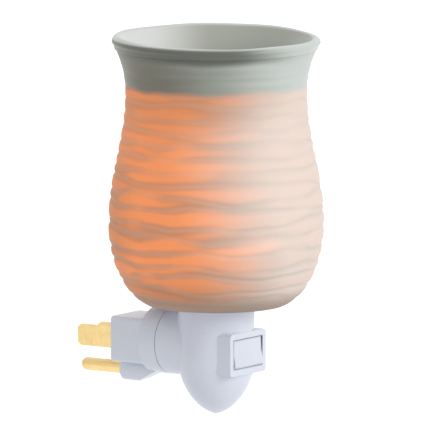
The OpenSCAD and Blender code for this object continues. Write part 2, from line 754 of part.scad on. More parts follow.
ridge_steps = 6;
module shade() color("wheat") at_axis() translate([0, 0, shade_z]) rotate_extrude() polygon(concat(
  [for (z = [0:ridge_pitch / ridge_steps:shade_h - 0.4]) [shade_line(z) + ridge(z), z]],
  [[shoulder_r, shade_h]],
  [for (z = [shade_h:-4:foot_recess + floor_t + 4]) [shade_line(z) - shade_wall, z]],
  [[shade_line(foot_recess + floor_t) - shade_wall - 0.6, foot_recess + floor_t],
    [shade_hole, foot_recess + floor_t], [shade_hole, foot_recess],
    [foot_r - foot_w, foot_recess], [foot_r - foot_w, 0]]));

// Dish: a bowl that hangs inside the waist, and a rolled rim that rests on the shade's top edge
bowl_top = shoulder_r - shade_wall - bowl_gap;
bowl_foot = waist_r - shade_wall - bowl_gap;
crest = 2 * bead_r;
lip_in = rim_r - 2 * bead_r;
bowl_under = dish_depth + dish_wall - crest;

function bowl_line(in, floor) = let (r = bowl_foot - in, c = bowl_corner - in) concat(
  [for (a = [0:10:90]) [r - c + c * sin(a), -floor + c - c * cos(a)]]);

module dish() color("darkseagreen") at_axis() translate([0, 0, shade_z + shade_h + seat_gap])
  rotate_extrude() {
  difference() {
    polygon(concat([[0, -bowl_under]], bowl_line(0, bowl_under),
      [[bowl_top, 0], [rim_r - bead_r, 0], [rim_r - bead_r, crest], [0, crest]]));
    polygon(concat([[-1, -bowl_under + dish_wall]], bowl_line(dish_wall, bowl_under - dish_wall),
      [[bowl_top - dish_wall + 0.6, 0], [lip_in - 0.2, crest - 0.5], [lip_in, crest + 1], [-1, crest + 1]]));
    translate([lip_in, bead_r]) square([bead_r, bead_r + 1]);
  }
  translate([rim_r - bead_r, bead_r]) circle(r = bead_r, $fn = 48);
}

housing_left();
housing_right();
housing_screws();
shade_collar();
plug_body();
swivel_hub();
hub_screws();
line_blade();
neutral_blade();
earth_pin();
line_wiper();
neutral_wiper();
contact_plate();
line_stud();
neutral_ring();
switch_case();
rocker();
rocker_plunger();
plunger_spring();
contact_lever();
lever_saddle();
switched_terminal();
socket_body();
socket_shell();
socket_contact();
bulb_glass();
bulb_cap();
cap_insulator();
cap_tip();
lamp_stem();
filament();
line_lead();
switched_lead();
neutral_lead();
shade();
dish();
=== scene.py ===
# %% [markdown]
# # Plug-in wax melt warmer
# The solids of the warmer come in as a fixed frame, in metres. Its origin is the middle of the plug's face,
# with +Y the way that the blades point and +Z up. Everything below dresses that frame: first the camera, then
# the shade and the dish, then a material for each remaining piece, and last the light.

# %% Load the frame
import json
import math

import bpy
import numpy as np
from mathutils import Matrix, Vector


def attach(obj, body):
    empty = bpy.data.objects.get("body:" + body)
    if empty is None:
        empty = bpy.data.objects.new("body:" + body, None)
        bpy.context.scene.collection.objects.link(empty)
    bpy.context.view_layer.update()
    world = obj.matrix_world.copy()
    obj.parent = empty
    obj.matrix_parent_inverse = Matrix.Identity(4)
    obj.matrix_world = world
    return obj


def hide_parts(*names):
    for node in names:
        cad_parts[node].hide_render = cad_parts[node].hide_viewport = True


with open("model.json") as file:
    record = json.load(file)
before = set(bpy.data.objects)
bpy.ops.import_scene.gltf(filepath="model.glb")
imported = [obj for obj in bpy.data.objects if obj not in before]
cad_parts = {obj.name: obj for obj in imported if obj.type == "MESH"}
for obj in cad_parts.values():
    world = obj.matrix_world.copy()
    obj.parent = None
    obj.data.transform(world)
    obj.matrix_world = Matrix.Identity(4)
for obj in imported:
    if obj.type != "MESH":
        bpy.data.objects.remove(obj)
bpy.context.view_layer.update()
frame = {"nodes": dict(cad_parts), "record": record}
NODES = frame["nodes"]
MM = 0.001

# %% [markdown]
# ## Camera
# The photograph is taken from the left and a little above, and from far away: the straight edges of the
# plug and the flat ellipse of the rim both agree with a long lens. So the view is set by two angles, a
# distance and the point that the picture's middle shows. A longer lens from further off would give the same
# picture.

# %% Camera
AZIMUTH = math.radians(-55.2)
ELEVATION = math.radians(7.78)
DISTANCE = 6.0
FOCAL_PIXELS = 16314
PICTURE_PIXELS = 433
SENSOR_WIDTH = 36
SHIFT_X = 0.1 * MM
SHIFT_Z = -65.2 * MM
LIP = Vector((0, -40.5 * MM, 113.4 * MM))

back = Vector((math.sin(AZIMUTH) * math.cos(ELEVATION), -math.cos(AZIMUTH) * math.cos(ELEVATION),
               math.sin(ELEVATION)))
right = Vector((math.cos(AZIMUTH), math.sin(AZIMUTH), 0))
up = back.cross(right)
aim = LIP + right * SHIFT_X + up * SHIFT_Z

lens = bpy.data.cameras.new("camera")
lens.sensor_width = SENSOR_WIDTH
lens.lens = FOCAL_PIXELS / PICTURE_PIXELS * SENSOR_WIDTH
lens.clip_end = 50
camera = bpy.data.objects.new("camera", lens)
bpy.context.scene.collection.objects.link(camera)
turn = Matrix((right, up, back)).transposed().to_4x4()
camera.matrix_world = Matrix.Translation(aim + back * DISTANCE) @ turn
bpy.context.scene.camera = camera
print("camera at", [round(v, 3) for v in camera.matrix_world.translation])

# %% [markdown]
# ## Node arithmetic
# A node tree is easier to read as arithmetic. `Term` stands for one value in a tree, of a shader or of
# Geometry Nodes. Adding or multiplying terms adds the Math node that does it, and `node` makes any other
# node. Node groups could do the same, but they hide the numbers one level down.

# %% Node arithmetic


class Term:
    def __init__(self, tree, socket=None):
        self.tree = tree
        self.socket = socket

    def node(self, kind, inputs=None, out=0, **settings):
        made = self.tree.nodes.new(kind)
        for name, value in settings.items():
            setattr(made, name, value)
        for key, value in (inputs or {}).items():
            if isinstance(value, Term):
                self.tree.links.new(value.socket, made.inputs[key])
            else:
                made.inputs[key].default_value = value
        return Term(self.tree, made.outputs[out])

    def math(self, operation, *others):
        """One Math node, with this term as its first input."""
        return self.node("ShaderNodeMath", dict(enumerate((self, *others))), operation=operation)

    def __add__(self, other):
        return self.math("ADD", other)

    def __sub__(self, other):
        return self.math("SUBTRACT", other)

    def __mul__(self, other):
        return self.math("MULTIPLY", other)

    def __truediv__(self, other):
        return self.math("DIVIDE", other)

    def __radd__(self, other):
        return self.math("ADD", other)

    def __rmul__(self, other):
        return self.math("MULTIPLY", other)

    def __rsub__(self, other):
        return (self * -1.0).math("ADD", other)

    def __pow__(self, other):
        return self.math("POWER", other)

    def step(self, low, high, out_low=0.0, out_high=1.0):
        """A soft step: out_low below low, out_high above high, and a smooth rise between."""
        inputs = {"Value": self, 1: low, 2: high, 3: out_low, 4: out_high}
        return self.node("ShaderNodeMapRange", inputs, interpolation_type="SMOOTHSTEP")

    def noise(self, scale, detail=2.0, roughness=0.5, out=0):
        """Noise sampled at this term, a vector."""
        inputs = {"Vector": self, "Scale": scale, "Detail": detail, "Roughness": roughness}
        return self.node("ShaderNodeTexNoise", inputs, out)

    def mix(self, first, second):
        """first where this term is 0, second where it is 1; both are colours."""
        return self.node("ShaderNodeMix", {0: self, 6: first, 7: second}, 2, data_type="RGBA")


print("helpers", [name for name in vars(Term) if name[0] != "_"])

# %% [markdown]
# ## Starting a material
# Every finish below is a Principled shader. A number that is the same all over a surface is set on the
# shader's own socket, and nodes feed only what changes. Patterns read Object coordinates, so they are in
# metres and stay where they are on the piece.

# %% Starting a material


def rgb(red, green, blue):
    """A colour written as 0 to 255 in sRGB, as linear light."""
    linear = []
    for value in (red, green, blue):
        v = value / 255
        linear.append(v / 12.92 if v <= 0.04045 else ((v + 0.055) / 1.055) ** 2.4)
    return (*linear, 1.0)


def material(name, **constants):
    """A Principled material and its tree's first term; constants go on the shader's own sockets."""
    made = bpy.data.materials.new(name)
    made.use_nodes = True
    shader = made.node_tree.nodes["Principled BSDF"]
    for key, value in constants.items():
        shader.inputs[key.replace("_", " ")].default_value = value
    return made, Term(made.node_tree), shader


def feed(tree, shader, **terms):
    """Links terms to the shader's sockets."""
    for key, term in terms.items():
        tree.tree.links.new(term.socket, shader.inputs[key.replace("_", " ")])


def place(tree):
    """Object coordinates, in metres, and their three parts."""
    point = tree.node("ShaderNodeTexCoord", out=3)
    split = tree.node("ShaderNodeSeparateXYZ", {0: point})
    sockets = split.socket.node.outputs
    return point, Term(tree.tree, sockets[0]), Term(tree.tree, sockets[1]), Term(tree.tree, sockets[2])


def stretched(tree, point, across, along):
    """The point with its horizontal parts scaled by across and its height by along."""
    return tree.node("ShaderNodeMapping", {0: point, 3: (across, across, along)})


def bump(tree, height, distance):
    return tree.node("ShaderNodeBump", {"Height": height, "Distance": distance})


def set_material(piece, made):
    piece.data.materials.clear()
    piece.data.materials.append(made)


print("mid grey in linear light", round(rgb(128, 128, 128)[0], 3))

# %% [markdown]
# ## The shade
# A potter would throw or slip-cast this body as one turned form, then press wavy horizontal ridges into the
# outside while the clay is soft. The mesh follows the same order. A profile is turned round the lamp's axis:
# foot, belly, waist and flare outside, and a plain wall inside. The ridges come after, from a rule: each
# point moves inwards by a wave of its height, and slow noise makes the waves wander, meet and part. A
# Geometry Nodes group holds that rule, so its pitch, depth and wander can be changed in one place.

# %% Profile of the shade
AXIS_Y = -40.5 * MM
FOOT_Z = 15.2
HEIGHT = 95.2
BELLY_R, BELLY_Z = 39.8, 30.0
FOOT_R = 25.4
WAIST_R, WAIST_Z = 33.5, 79.0
SHOULDER_R = 37.2
WALL = 3.0
RECESS, FLOOR, FOOT_W, HOLE = 3.2, 3.2, 4.0, 15.1
TURNS = 256
RINGS = 250


def belly_curve(t):
    """A quarter of a round, from 0 to 1 as t goes from 0 to 1."""
    return 1 - math.sqrt(1 - t * t)


def shade_line(z):
    """Outside radius of the shade at a height above its foot, in millimetres."""
    if z <= BELLY_Z:
        drop = BELLY_Z + 1
        return BELLY_R - (BELLY_R - FOOT_R) * belly_curve((BELLY_Z - z) / drop) / belly_curve(BELLY_Z / drop)
    if z <= WAIST_Z:
        t = (z - BELLY_Z) / (WAIST_Z - BELLY_Z)
        return BELLY_R + (WAIST_R - BELLY_R) * (1 - math.cos(math.pi * t)) / 2
    return WAIST_R + (SHOULDER_R - WAIST_R) * ((z - WAIST_Z) / (HEIGHT - WAIST_Z)) ** 2


def lathe(name, profile, turns, base_z, closed=True):
    """Turns a profile of (radius, height) points, in millimetres, round the lamp's axis."""
    points = []
    for r, z in profile:
        for k in range(turns):
            a = 2 * math.pi * k / turns
            points.append((r * math.cos(a) * MM, r * math.sin(a) * MM + AXIS_Y, (z + base_z) * MM))
    faces = []
    rings = len(profile)
    for i in range(rings if closed else rings - 1):
        low, high = i * turns, (i + 1) % rings * turns
        for k in range(turns):
            n = (k + 1) % turns
            faces.append((low + k, low + n, high + n, high + k))
    if not closed:
        first, last = len(points), len(points) + 1
        points.append((0, AXIS_Y, (profile[0][1] + base_z) * MM))
        points.append((0, AXIS_Y, (profile[-1][1] + base_z) * MM))
        top = (rings - 1) * turns
        for k in range(turns):
            n = (k + 1) % turns
            faces.append((n, k, first))
            faces.append((top + k, top + n, last))
    mesh = bpy.data.meshes.new(name)
    mesh.from_pydata(points, [], faces)
    mesh.shade_smooth()
    piece = bpy.data.objects.new(name, mesh)
    bpy.context.scene.collection.objects.link(piece)
    return piece


outside = [(shade_line(z), z) for z in np.linspace(0, HEIGHT - 0.5, RINGS)]
edge = [(SHOULDER_R - 0.15, HEIGHT - 0.12), (SHOULDER_R - 0.6, HEIGHT), (SHOULDER_R - 1.5, HEIGHT),
        (SHOULDER_R - WALL + 0.5, HEIGHT), (SHOULDER_R - WALL, HEIGHT - 0.5)]
inside = [(shade_line(z) - WALL, z) for z in np.linspace(HEIGHT - 4, RECESS + FLOOR + 4, 24)]
floor_z = RECESS + FLOOR
corner_r = shade_line(floor_z) - WALL
foot_in = FOOT_R - FOOT_W
floor = [(corner_r - 0.6, floor_z + 0.3), (corner_r - 2, floor_z), (HOLE + 0.3, floor_z),
         (HOLE, floor_z - 0.3), (HOLE, RECESS + 0.3), (HOLE + 0.3, RECESS), (foot_in - 0.2, RECESS),
         (foot_in, RECESS - 0.2), (foot_in, 0.5), (foot_in + 0.5, 0), (FOOT_R - 0.6, 0)]
profile = outside + edge + inside + floor
shade = lathe("ceramic_shade", profile, TURNS, FOOT_Z)
print("shade profile", len(profile), "rings of", TURNS)

# %% [markdown]
# ### Where the ridges are pressed
# The ridges are pressed only into the outside. They start a little above the foot, end under the lip, grow
# fainter upwards, and are half filled where glaze covers them. The mesh carries this as an attribute of its
# points, so the rule can read it.

# %% Where the ridges are pressed
FOOT_FADE = 6.0
LIP_GAP, LIP_FADE = 2, 8.0
GLAZED_Z, GLAZED_FADE, GLAZED_LEFT = 80.0, 8.0, 0.35
UPPER_Z, UPPER_SPAN, UPPER_LOSS = 25.0, 45.0, 0.35

pressed = np.zeros(len(shade.data.vertices), np.float32)
heights = np.repeat(np.linspace(0, HEIGHT - 0.5, RINGS), TURNS)
rise = np.clip(heights / FOOT_FADE, 0, 1)
fall = np.clip((HEIGHT - LIP_GAP - heights) / LIP_FADE, 0, 1)
under_glaze = GLAZED_LEFT + (1 - GLAZED_LEFT) * np.clip((GLAZED_Z - heights) / GLAZED_FADE, 0, 1)
upper = 1.0 - UPPER_LOSS * np.clip((heights - UPPER_Z) / UPPER_SPAN, 0, 1)
pressed[:RINGS * TURNS] = rise * fall * under_glaze * upper
shade.data.attributes.new("pressed", "FLOAT", "POINT").data.foreach_set("value", pressed)
print("pressed points", int((pressed > 0).sum()), "of", len(pressed))

# %% [markdown]
# ### The rule
# The group draws two families of grooves. Each family is evenly spaced and wanders with its own slow noise,
# so a groove of one comes close to a groove of the other, touches it and parts again, which leaves long
# lens-shaped facets. The group keeps two values for the material: how deep a point lies in a groove, and how
# near it is to the middle of its facet. Sculpting each ridge would look as good, but could not be changed.

# %% The rule of the ridges
RIDGES = {"Spacing": 9.7 * MM, "Depth": 0.62 * MM, "Wander": 10.5 * MM, "Narrow": 9.0, "Swell": 0.5 * MM}
FIRST = {"seed": 0.313, "stretch": (29.0, 29.0, 58.0), "offset": 0.0}
SECOND = {"seed": 0.771, "stretch": (26.0, 26.0, 53.0), "offset": 0.5}
WIDE = 2.2
SWELL_SCALE = 45.0


def ridge_group():
    group = bpy.data.node_groups.new("wavy_ridges", "GeometryNodeTree")
    group.interface.new_socket("Geometry", in_out="INPUT", socket_type="NodeSocketGeometry")
    group.interface.new_socket("Geometry", in_out="OUTPUT", socket_type="NodeSocketGeometry")
    for name, value in RIDGES.items():
        group.interface.new_socket(name, in_out="INPUT", socket_type="NodeSocketFloat").default_value = value
    tree = Term(group)
    given = group.nodes.new("NodeGroupInput")
    value = {s.name: Term(group, s) for s in given.outputs if s.name}
    position = tree.node("GeometryNodeInputPosition")
    height = Term(group, tree.node("ShaderNodeSeparateXYZ", {0: position}).socket.node.outputs[2])

    def family(seed, stretch, offset):
        """Evenly spaced lines that wander: 1 on a line and 0 half way between, and how firm each line is."""
        moved = tree.node("ShaderNodeVectorMath", {0: position, 1: (seed, seed, seed)}, operation="ADD")
        scaled = tree.node("ShaderNodeVectorMath", {0: moved, 1: stretch}, operation="MULTIPLY")
        drift = (scaled.noise(1.0, 1.5) - 0.5) * value["Wander"]
        phase = (height + drift) / value["Spacing"] + offset
        firm = scaled.noise(1.7, 1.0)
        return (phase * (2 * math.pi)).math("COSINE") * 0.5 + 0.5, firm.step(0.34, 0.6, 0.6, 1.0)

    first, first_firm = family(**FIRST)
    second, second_firm = family(**SECOND)
    narrow = (1 - first ** value["Narrow"] * first_firm) * (1 - second ** value["Narrow"] * second_firm)
    wide = (1 - first ** WIDE * first_firm) * (1 - second ** WIDE * second_firm)
    slow = position.noise(SWELL_SCALE, 1.0) - 0.5
    pressed = tree.node("GeometryNodeInputNamedAttribute", {0: "pressed"}, data_type="FLOAT")
    depth = ((narrow - 1) * value["Depth"] + slow * value["Swell"]) * pressed
    normal = tree.node("GeometryNodeInputNormal")
    push = tree.node("ShaderNodeVectorMath", {0: normal, "Scale": depth}, operation="SCALE")
    shaped = tree.node("GeometryNodeSetPosition", {0: Term(group, given.outputs[0]), "Offset": push})
    for name, kept in (("crest", narrow), ("facet", wide)):
        shaped = tree.node("GeometryNodeStoreNamedAttribute", {0: shaped, "Name": name, "Value": kept},
                           data_type="FLOAT", domain="POINT")
    real = tree.node("GeometryNodeRealizeInstances", {0: shaped})
    painted = tree.node("GeometryNodeSetMaterial", {0: real, "Material": shade_material})
    result = group.nodes.new("NodeGroupOutput")
    group.links.new(painted.socket, result.inputs[0])
    return group


print("ridge inputs", RIDGES)

# %% [markdown]
# ## Colours of porcelain and glaze
# Lit from inside by the lamp, thin porcelain glows orange. This glow is painted light, an emission on the
# porcelain. It is strongest on the plug's side and low down. It is brightest in the middle of each facet and
# greyer in the grooves, where the light has to cross more clay at a slant. On the other side the clay is
# painted a pale cream, as painted light from the lamp on the right, and on the plug's side it is painted
# darker, as painted shade; near the foot it is painted darker still, as painted shade under the belly. The
# glow stops where the sage glaze and the dish behind it begin. The glaze's lower edge is not level: it arches
# up by about a millimetre on the front.

# %% Colours of porcelain and glaze
SIDE = (right.x, right.y)
DARK = (0.0, 0.0, 0.0, 1.0)
# The clay in painted shade on the plug's side and in painted light on the other, and the painted glow of the
# lamp inside in the same two places.
CLAY_IN_PAINTED_SHADE = {"groove": (0.44, 0.29, 0.21, 1), "facet": (0.38, 0.20, 0.11, 1)}
CLAY_IN_PAINTED_LIGHT = {"groove": (0.78, 0.68, 0.61, 1), "facet": (0.82, 0.71, 0.635, 1)}
GLOW_LEFT = {"groove": (0.25, 0.072, 0.022, 1), "facet": (0.60, 0.150, 0.031, 1)}
GLOW_RIGHT = {"groove": (0.0, 0.0, 0.0, 1), "facet": (0.06, 0.012, 0.003, 1)}
# The clay near the foot, painted darker as painted shade under the belly.
CLAY_FOOT_IN_PAINTED_SHADE = (0.36, 0.28, 0.225, 1)
# Sage glaze, its copies in painted shade and in painted light, and the painted shadow under the lip.
SAGE = (0.33, 0.36, 0.315, 1)
SAGE_IN_PAINTED_SHADE = (0.207, 0.200, 0.155, 1)
SAGE_IN_PAINTED_LIGHT = (0.605, 0.65, 0.615, 1)
SAGE_INSIDE = (0.40, 0.415, 0.365, 1)
# Painted highlight on the dish's inside wall, on the plug's side.
SAGE_INSIDE_PAINTED_HIGHLIGHT = (0.72, 0.73, 0.72, 1)
SAGE_PAINTED_SHADOW = (0.13, 0.142, 0.12, 1)
print("from pale", SAGE_IN_PAINTED_LIGHT[:3], "to deep", SAGE_IN_PAINTED_SHADE[:3])

# %% [markdown]
# ### Where they change, and how often a pattern repeats
# Each pair of heights says where a change begins and ends. Each pattern is noise, stretched by how many of
# its cells fit in a metre, across and up: many up and few across give strokes that run round the body.

# %% Where they change, and how often a pattern repeats
GLAZE_EDGE = (94.3 * MM, 97.1 * MM)
GLAZE_ARCH = 1.2 * MM
GLAZE_WAVER = 6 * MM
CREASE = (106.6 * MM, 109.6 * MM)
FAINTER_RIDGES = (40 * MM, 85 * MM)
CREAM_OVER_FOOT = (22 * MM, 50 * MM)
CREAM_OVER_NECK = (78 * MM, 96 * MM)
CLAY_ABOVE_FOOT = (15 * MM, 24 * MM)
GLOW_ABOVE_FOOT = (15 * MM, 33 * MM)
GLOW_TO_NECK = (72 * MM, 94 * MM)
WIDEST = 40 * MM
PER_METRE = {
    "cloud": (30.0, 70.0), "bloom": (14.0, 26.0), "streak": (34.0, 360.0), "uneven": (16.0, 120.0),
    "waver": (26.0, 10.0), "grain": (900.0, 900.0), "glaze_cloud": (22.0, 60.0),
    "glaze_stroke": (18.0, 330.0), "dish_cloud": (40.0, 60.0), "dish_grain": (350.0, 350.0),
}
print("glaze begins", [round(v / MM, 1) for v in GLAZE_EDGE], "mm up")

# %% [markdown]
# ### Sage glaze
# The glaze is painted dark in the crease under the lip, as painted shade, and pale on the lip's crest, where
# it runs thin and a painted highlight lies. On the plug's side it is painted darker and on the other side
# paler, as painted shade and painted light. Its lower edge wavers. Its strokes run round the body, so the
# noise that draws them is squeezed in height.

# %% Sage glaze


def sideways(x, y):
    """How far a point lies to the right or left of the lamp's axis, as -1 to 1 on the widest ring."""
    return (x * SIDE[0] + (y - AXIS_Y) * SIDE[1]) / WIDEST


def sage_tone(tree, point, across):
    """Sage glaze: darker strokes in painted shade on the plug's side, paler in painted light on the lit side.
    """
    cloud = stretched(tree, point, *PER_METRE["glaze_cloud"]).noise(1.0, 3.0, 0.6)
    stroke = stretched(tree, point, *PER_METRE["glaze_stroke"]).noise(1.0, 2.0)
    body = (across + (cloud + stroke - 1.0) * 0.7).step(-0.75, 0.15).mix(SAGE_IN_PAINTED_SHADE, SAGE)
    return (across + (stroke - 0.5) * 0.5).step(-0.06, 0.76).mix(body, SAGE_IN_PAINTED_LIGHT)


def painted_shade_under_lip(across):
    """How dark the painted shade under the lip is: deepest in front, slight on the lit side."""
    return (1 - across.step(0.12, 0.8) * 0.95) * across.step(-1.0, -0.4, 0.35, 1.0)


print("glaze has", len([name for name in PER_METRE if "glaze" in name]), "patterns")

# %% [markdown]
# ### Porcelain
# The clay's colour and its painted glow are kept apart: one feeds Base Color and the other Emission Color.
# Both turn from the plug's side to the lit side, as painted shade and painted light, with noise in the turn
# so that no straight border shows.

# %% Porcelain


def build_shade_material():
    made, tree, shader = material("porcelain_shade", Specular_IOR_Level=0.35, Emission_Strength=1.0)
    point, x, y, z = place(tree)
    across = sideways(x, y)
    groove = tree.node("ShaderNodeAttribute", out=2, attribute_name="crest")
    facet = tree.node("ShaderNodeAttribute", out=2, attribute_name="facet")
    cloud = stretched(tree, point, *PER_METRE["cloud"]).noise(1.0, 3.0, 0.6)
    bloom = stretched(tree, point, *PER_METRE["bloom"]).noise(1.0, 1.0)
    # Grooves show less towards the top.
    keen = z.step(*FAINTER_RIDGES, 1.0, 0.62)
    mild = 1 - (1 - groove.step(0.0, 1.0)) * keen
    streak = stretched(tree, point, *PER_METRE["streak"]).noise(1.0, 2.0)
    patchy = (cloud - 0.5) * 0.4 + (streak - 0.5) * 0.45
    lens = 1 - (1 - (facet + patchy).step(0.02, 0.74)) * keen

    # Where the clay in painted light, a pale cream, takes over from the clay in painted shade, and where the
    # painted glow has faded.
    lean = z.step(*CREAM_OVER_FOOT, -0.2, 0.0) + z.step(*CREAM_OVER_NECK, 0.0, -0.2)
    turned = (across + lean + (bloom - 0.5) * 0.5).step(-0.5, 0.65)
    clay = turned.mix(mild.mix(CLAY_IN_PAINTED_SHADE["groove"], CLAY_IN_PAINTED_SHADE["facet"]),
                      mild.mix(CLAY_IN_PAINTED_LIGHT["groove"], CLAY_IN_PAINTED_LIGHT["facet"]))
    uneven = stretched(tree, point, *PER_METRE["uneven"]).noise(1.0, 1.0)
    faded = (across + (bloom - 0.5) * 0.9 + (uneven - 0.5) * 1.1).step(-0.46, 0.6)
    glow = faded.mix(lens.mix(GLOW_LEFT["groove"], GLOW_LEFT["facet"]),
                     lens.mix(GLOW_RIGHT["groove"], GLOW_RIGHT["facet"]))
    # The painted glow is weaker at the outline, at the foot and towards the neck.
    edge = across.step(-1.0, -0.7, 0.55, 1.0)
    foot = z.step(*GLOW_ABOVE_FOOT, 0.15, 1.0)
    neck = z.step(*GLOW_TO_NECK, 1.0, 0.74)

    # The glaze, its wavering lower edge and the painted shade in the crease under the lip.
    waver = stretched(tree, point, *PER_METRE["waver"]).noise(1.0, 2.0) * GLAZE_WAVER - GLAZE_WAVER / 2
    arch = (1 - across * across) * GLAZE_ARCH
    glaze = (z + waver - arch).step(*GLAZE_EDGE)
    crease = (z + waver * 0.5).step(*CREASE) * painted_shade_under_lip(across)
    sage = crease.mix(sage_tone(tree, point, across), SAGE_PAINTED_SHADOW)
    # Near the foot the clay is painted darker, as painted shade under the belly.
    colour = glaze.mix(z.step(*CLAY_ABOVE_FOOT).mix(CLAY_FOOT_IN_PAINTED_SHADE, clay), sage)

    lit = edge * foot * neck * (1 - glaze)
    rough = glaze.step(0.0, 1.0, 0.6, 0.4) + (cloud - 0.5) * 0.12
    grain = stretched(tree, point, *PER_METRE["grain"]).noise(1.0, 2.0)
    feed(tree, shader, Base_Color=colour, Emission_Color=lit.mix(DARK, glow), Roughness=rough,
         Normal=bump(tree, grain, 0.04 * MM))
    return made


shade_material = build_shade_material()
print("porcelain nodes", len(shade_material.node_tree.nodes))

# %% [markdown]
# ### Glaze of the dish
# Outside, the dish has the shade's glaze, with painted shade under the bead. Inside, it lies thicker and
# plainer, with a painted highlight on the wall at the plug's side, and on the rim's crest it has run thin and
# carries a painted highlight.

# %% Glaze of the dish
BEAD_SIDE = (36.4 * MM, 37.0 * MM)
BEAD_FOOT = (113.0 * MM, 114.3 * MM)
CREST_HEIGHT = (113.5 * MM, 114.2 * MM)
CREST_REACH = (34.8 * MM, 35.8 * MM)
INSIDE_ENDS = (35.4 * MM, 36.4 * MM)


def build_dish_material():
    made, tree, shader = material("sage_glaze", Specular_IOR_Level=0.5)
    point, x, y, z = place(tree)
    across = sideways(x, y)
    reach = (x * x + (y - AXIS_Y) * (y - AXIS_Y)) ** 0.5
    outer = reach.step(*BEAD_SIDE)
    # Painted shade on the lower side of the bead, deepest in front.
    low = outer * (1 - z.step(*BEAD_FOOT)) * painted_shade_under_lip(across)
    # Inside, a painted highlight lies on the wall at the plug's side.
    inner = across.step(0.0, -0.65).mix(SAGE_INSIDE, SAGE_INSIDE_PAINTED_HIGHLIGHT)
    # On the crest the glaze has run thin, and a painted highlight lies there too.
    wear_and_highlight = z.step(*CREST_HEIGHT) * reach.step(*CREST_REACH)
    tone = wear_and_highlight.mix(reach.step(*INSIDE_ENDS).mix(inner, sage_tone(tree, point, across)), SAGE_IN_PAINTED_LIGHT)
    grain = stretched(tree, point, *PER_METRE["dish_grain"]).noise(1.0, 2.0)
    cloud = stretched(tree, point, *PER_METRE["dish_cloud"]).noise(1.0, 3.0, 0.6)
    feed(tree, shader, Base_Color=low.mix(tone, SAGE_PAINTED_SHADOW), Roughness=cloud * 0.14 + 0.27,
         Normal=bump(tree, grain, 0.05 * MM))
    return made


dish_material = build_dish_material()
print("dish glaze nodes", len(dish_material.node_tree.nodes))

# %% [markdown]
# ### Pressing the ridges
# The group goes on the shade as a modifier, and its inputs are set by their identifiers before the first
# evaluation. The result becomes a plain mesh and the modifier goes, so what stays is the pressed form alone.

# %% Pressing the ridges
modifier = shade.modifiers.new("ridges", "NODES")
group = ridge_group()
modifier.node_group = group
for item in group.interface.items_tree:
    if item.in_out == "INPUT" and item.name in RIDGES:
        modifier[item.identifier] = RIDGES[item.name]
shade.data.materials.append(shade_material)
bpy.context.view_layer.update()
plain = bpy.data.meshes.new_from_object(shade.evaluated_get(bpy.context.evaluated_depsgraph_get()))
shade.modifiers.clear()
shade.data = plain
shade.data.shade_smooth()
set_material(shade, shade_material)
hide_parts("shade")
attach(shade, "shade")
print("shade triangles", sum(len(p.vertices) - 2 for p in shade.data.polygons))

# %% [markdown]
# ## The dish
# The dish is turned like the shade: a small bowl, a slanted wall and a rolled rim that rests on the shade's
# top edge. Glaze fills the corner under the bead and laps that edge by half a millimetre. A hand-rolled rim
# is never a perfect ring, so it leans a little, and its bead swells and dips by a few tenths of a millimetre.

# %% Profile of the dish
DISH_Z = FOOT_Z + HEIGHT + 0.2
RIM_R, BEAD = 38.5, 1.9
BOWL_R = WAIST_R - WALL - 0.8
BOWL_TOP = SHOULDER_R - WALL - 0.8
DISH_WALL = 2.6
BOWL_UNDER = 17.0 + DISH_WALL - 2 * BEAD
CORNER = 7.0
LAP_R = SHOULDER_R + 0.14
CENTRE_R = 8.0
DISH_TURNS = 192


def arc(centre_r, centre_z, radius, start, end, count):
    """Points along an arc, with angles from straight outwards."""
    angles = np.radians(np.linspace(start, end, count))
    return [(centre_r + radius * math.cos(a), centre_z + radius * math.sin(a)) for a in angles]


under = arc(BOWL_R - CORNER, -BOWL_UNDER + CORNER, CORNER, -90, 0, 12)
wall_up = [(BOWL_R + (BOWL_TOP - BOWL_R) * t, -BOWL_UNDER + CORNER + (BOWL_UNDER - CORNER) * t)
           for t in np.linspace(0.2, 0.9, 6)]
bead_centre = RIM_R - BEAD
ledge = [(BOWL_TOP, -0.5), (BOWL_TOP + 0.5, 0.02), (LAP_R, 0.02), (LAP_R, -0.45)]
fillet = [(SHOULDER_R + 0.22, -0.52), (SHOULDER_R + 0.32, -0.4), (SHOULDER_R + 0.4, 0.1),
          (SHOULDER_R + 0.56, 0.7), (SHOULDER_R + 0.85, 1.25)]
bead = fillet + arc(bead_centre, BEAD, BEAD, -8, 90, 14) + arc(bead_centre, BEAD, BEAD, 100, 150, 5)
slope_in = [(BOWL_TOP - DISH_WALL + 0.6, 0.0), (BOWL_R - DISH_WALL + 0.5, -BOWL_UNDER + CORNER + 2)]
inner_c = CORNER - DISH_WALL
well = arc(BOWL_R - DISH_WALL - inner_c, -BOWL_UNDER + CORNER, inner_c, 0, -90, 12)
dish_profile = [(CENTRE_R, -BOWL_UNDER)] + under + wall_up + ledge + bead + slope_in + well
dish_profile += [(CENTRE_R, -BOWL_UNDER + DISH_WALL)]
dish = lathe("glazed_dish", dish_profile, DISH_TURNS, DISH_Z, closed=False)
print("dish profile", len(dish_profile), "rings of", DISH_TURNS)

# %% [markdown]
# ### A rim rolled by hand
# A lean and two small waves are added to the height of each point of the rim, more the higher it lies, so
# the ledge that rests on the shade stays flat. A lattice could bend the rim too, but three sines are easier
# to change.

# %% A rim rolled by hand
LIFT, LEAN, LEAN_WAY = 0.15, 0.48, 1.42
WAVES = ((0.16, 3, 0.7), (0.1, 7, 2.1))
FLAT_TO, FULL_OVER = 0.5, 3

